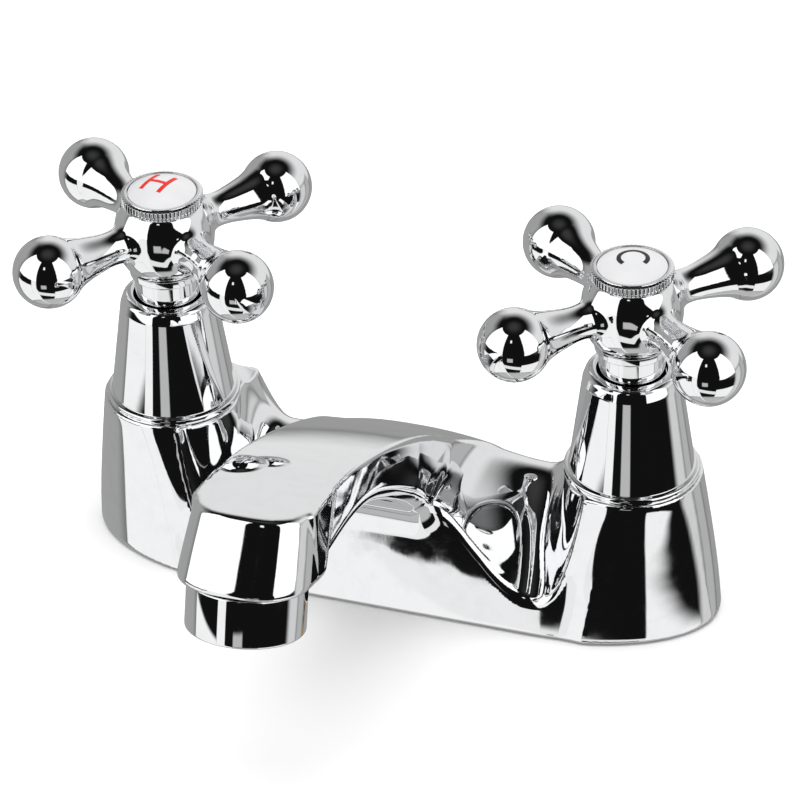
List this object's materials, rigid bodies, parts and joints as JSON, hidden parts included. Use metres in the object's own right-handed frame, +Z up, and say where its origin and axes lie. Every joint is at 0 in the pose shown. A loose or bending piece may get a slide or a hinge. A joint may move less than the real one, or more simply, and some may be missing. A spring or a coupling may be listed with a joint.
{
  "type": "bath mixer tap",
  "caption": "Deck-mounted bath mixer tap with a cast bridge body, a rising forward spout and cross handles on conical shrouds.",
  "frame": {"origin": "on the deck, midway between the two tap holes, at the underside of the base gasket", "axes": "+Z up, +X along the tap holes towards the cold side, -Y towards the user and the spout outlet"},
  "size_m": [0.284, 0.2363, 0.2133],
  "materials": {
    "chrome_body": "polished cast brass, bright chrome plate",
    "chrome_trim": "turned brass, bright chrome plate",
    "chrome_handle": "polished casting, bright chrome plate",
    "raw_brass": "machined brass",
    "spring_steel": "plain steel",
    "black_rubber": "smooth black rubber",
    "foam_rubber": "closed-cell foam",
    "fibre_seal": "vulcanised fibre",
    "white_plastic": "moulded washer",
    "grey_plastic": "moulded insert",
    "ceramic": "lapped alumina",
    "index_enamel": "glossy white insert",
    "red_mark": "printed letter",
    "dark_mark": "printed letter"
  },
  "bodies": {
    "mixer": {"mixer_body": "chrome_body", "base_gasket": "foam_rubber", "tail_seals": "fibre_seal", "deck_washers": "white_plastic", "back_nuts": "raw_brass", "outlet_ring": "chrome_trim", "flow_straightener": "grey_plastic", "outlet_washer": "black_rubber", "hot_inlet_tail": "raw_brass", "hot_valve_bonnet": "raw_brass", "hot_bonnet_seal": "fibre_seal", "hot_seat_seal": "black_rubber", "hot_fixed_disc": "ceramic", "hot_shroud": "chrome_trim", "hot_shroud_seal": "black_rubber", "cold_inlet_tail": "raw_brass", "cold_valve_bonnet": "raw_brass", "cold_bonnet_seal": "fibre_seal", "cold_seat_seal": "black_rubber", "cold_fixed_disc": "ceramic", "cold_shroud": "chrome_trim", "cold_shroud_seal": "black_rubber"},
    "hot_turning": {"hot_spindle": "raw_brass", "hot_spindle_o_rings": "black_rubber", "hot_spindle_clip": "spring_steel", "hot_moving_disc": "ceramic", "hot_handle": "chrome_handle", "hot_handle_collar": "chrome_trim", "hot_handle_screw": "spring_steel", "hot_cap_ring": "chrome_trim", "hot_index_disc": "index_enamel", "hot_index_mark": "red_mark"},
    "cold_turning": {"cold_spindle": "raw_brass", "cold_spindle_o_rings": "black_rubber", "cold_spindle_clip": "spring_steel", "cold_moving_disc": "ceramic", "cold_handle": "chrome_handle", "cold_handle_collar": "chrome_trim", "cold_handle_screw": "spring_steel", "cold_cap_ring": "chrome_trim", "cold_index_disc": "index_enamel", "cold_index_mark": "dark_mark"}
  },
  "joints": [
    {"name": "hot_handle_turn", "type": "hinge", "parent": "mixer", "child": "hot_turning", "pos_m": [-0.09, 0, 0.1338], "axis": [0, 0, 1], "range_deg": [0, 90]},
    {"name": "cold_handle_turn", "type": "hinge", "parent": "mixer", "child": "cold_turning", "pos_m": [0.09, 0, 0.1338], "axis": [0, 0, 1], "range_deg": [-90, 0]}
  ]
}
